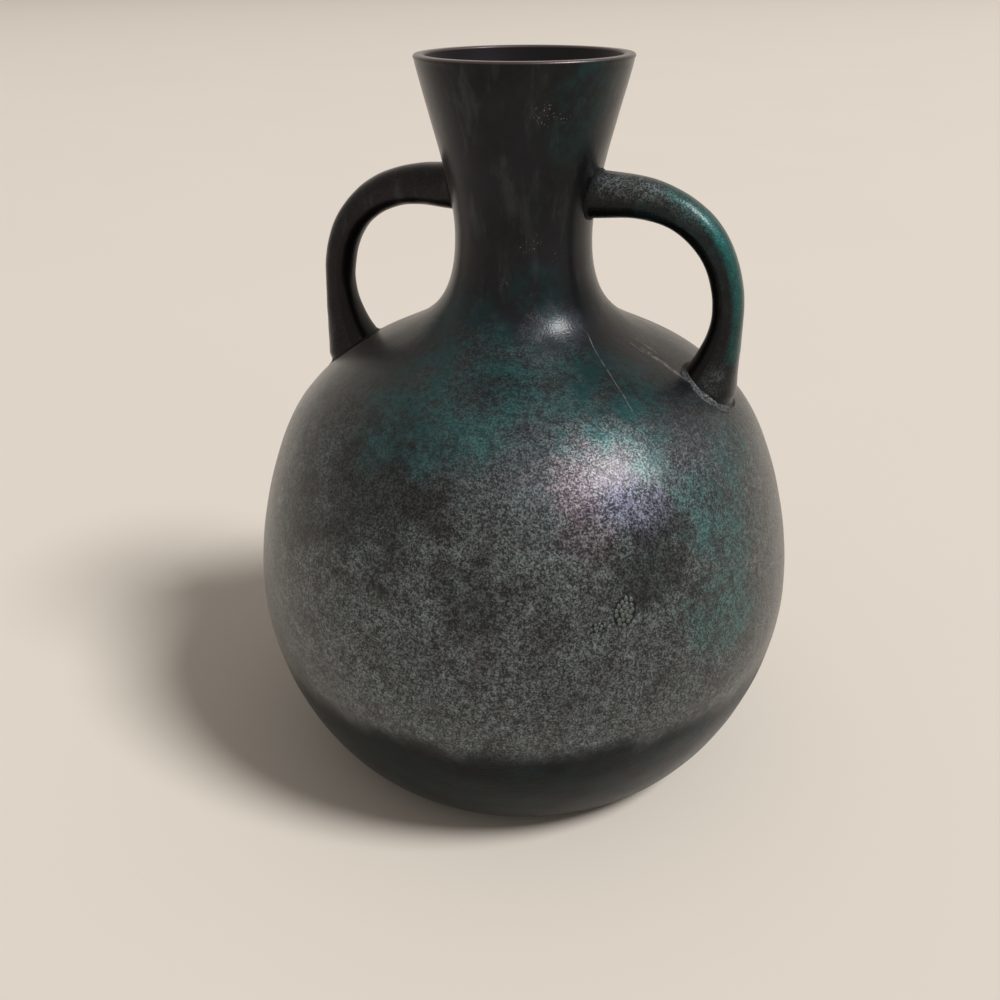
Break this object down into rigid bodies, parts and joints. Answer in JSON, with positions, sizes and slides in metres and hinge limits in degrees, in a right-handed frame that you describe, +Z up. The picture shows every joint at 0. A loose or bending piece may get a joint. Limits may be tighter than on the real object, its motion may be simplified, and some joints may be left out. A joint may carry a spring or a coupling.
{
  "type": "two-handled bronze vase",
  "caption": "Round-bellied cast bronze vase with a narrow neck, a flared mouth and an ear handle on each side.",
  "frame": {"origin": "centre of the foot rim, on the surface that the vase stands on", "axes": "+Z up along the body's axis, X through both handles, Y across them"},
  "size_m": [0.1772, 0.1772, 0.225],
  "materials": {
    "body_bronze": "dark patina with green mottling, waxed",
    "handle_bronze": "dark brown-black patina, waxed",
    "braze": "rough, greyish",
    "solder": "dull grey"
  },
  "bodies": {
    "root": {"vase_body": "body_bronze", "base_disc": "body_bronze", "base_solder": "solder", "right_handle": "handle_bronze", "right_handle_neck_bead": "braze", "right_handle_shoulder_bead": "braze", "left_handle": "handle_bronze", "left_handle_neck_bead": "braze", "left_handle_shoulder_bead": "braze"}
  },
  "joints": []
}
